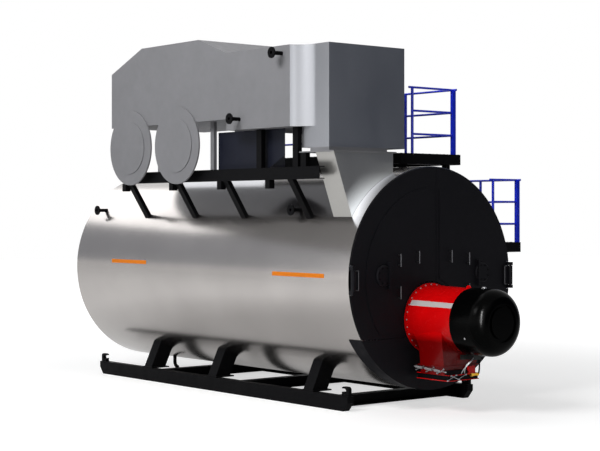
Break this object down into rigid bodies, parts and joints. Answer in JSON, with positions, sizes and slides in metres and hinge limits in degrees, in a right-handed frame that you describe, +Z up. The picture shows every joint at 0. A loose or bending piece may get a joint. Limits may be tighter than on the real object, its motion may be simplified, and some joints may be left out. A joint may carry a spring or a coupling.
{
  "type": "industrial boiler",
  "caption": "Skid-mounted horizontal fire-tube boiler with front burner, hinged smoke-box door leaves, flue economiser on a side frame and railed walkways.",
  "frame": {"origin": "on the ground, in the middle of the four anchor holes of the skid", "axes": "+X along the drum towards the burner, +Y towards the walkways, +Z up"},
  "size_m": [8.977, 4.57, 5.605],
  "materials": {
    "stainless": "brushed cladding sheet",
    "black_steel": "satin black paint",
    "boiler_plate": "bare mill plate",
    "handle_steel": "plain bar",
    "burner_red": "gloss red paint",
    "burner_black": "gloss black moulding",
    "duct_grey": "matt grey paint",
    "hopper_navy": "satin dark paint",
    "rail_blue": "gloss blue paint"
  },
  "bodies": {
    "boiler": {"shell_drum": "stainless", "smoke_box": "stainless", "runner_left": "black_steel", "runner_right": "black_steel", "cross_beams": "black_steel", "lifting_hooks": "black_steel", "saddles_left": "black_steel", "saddles_right": "black_steel", "rear_plate": "black_steel", "rear_cover": "black_steel", "lower_front": "black_steel", "hinge_bracket_left": "black_steel", "hinge_bracket_right": "black_steel", "near_beam": "black_steel", "cross_members": "black_steel", "struts": "black_steel", "economiser_posts": "black_steel", "upper_deck": "black_steel", "upper_deck_legs": "black_steel", "lower_deck": "black_steel", "lower_deck_brackets": "black_steel", "economiser_nozzles": "black_steel", "shell_nozzles": "black_steel", "drain_pipe": "black_steel", "valve_box": "black_steel", "servo_block": "black_steel", "tube_plate": "boiler_plate", "burner_throat": "boiler_plate", "burner_flange": "burner_red", "burner_housing": "burner_red", "burner_tray": "burner_red", "burner_cover": "burner_black", "transition_duct": "duct_grey", "transition_flange": "duct_grey", "economiser_inlet": "duct_grey", "economiser_body": "duct_grey", "rear_duct": "duct_grey", "round_cover_rear": "duct_grey", "round_cover_front": "duct_grey", "duct_supports": "duct_grey", "control_box": "duct_grey", "hopper": "hopper_navy", "upper_railing": "rail_blue", "lower_railing": "rail_blue"},
    "door_leaf_left": {"door_left": "black_steel", "hinge_strap_left": "black_steel", "hatch_left": "black_steel", "door_handles_left": "handle_steel"},
    "door_leaf_right": {"door_right": "black_steel", "hinge_strap_right": "black_steel", "hatch_right": "black_steel", "door_handles_right": "handle_steel"}
  },
  "joints": [
    {"name": "left_leaf_hinge", "type": "hinge", "parent": "boiler", "child": "door_leaf_left", "pos_m": [3.89, -1.615, 1.93], "axis": [0, 0, -1], "range_deg": [0, 110]},
    {"name": "right_leaf_hinge", "type": "hinge", "parent": "boiler", "child": "door_leaf_right", "pos_m": [3.89, 1.615, 1.93], "axis": [0, 0, 1], "range_deg": [0, 110]}
  ]
}
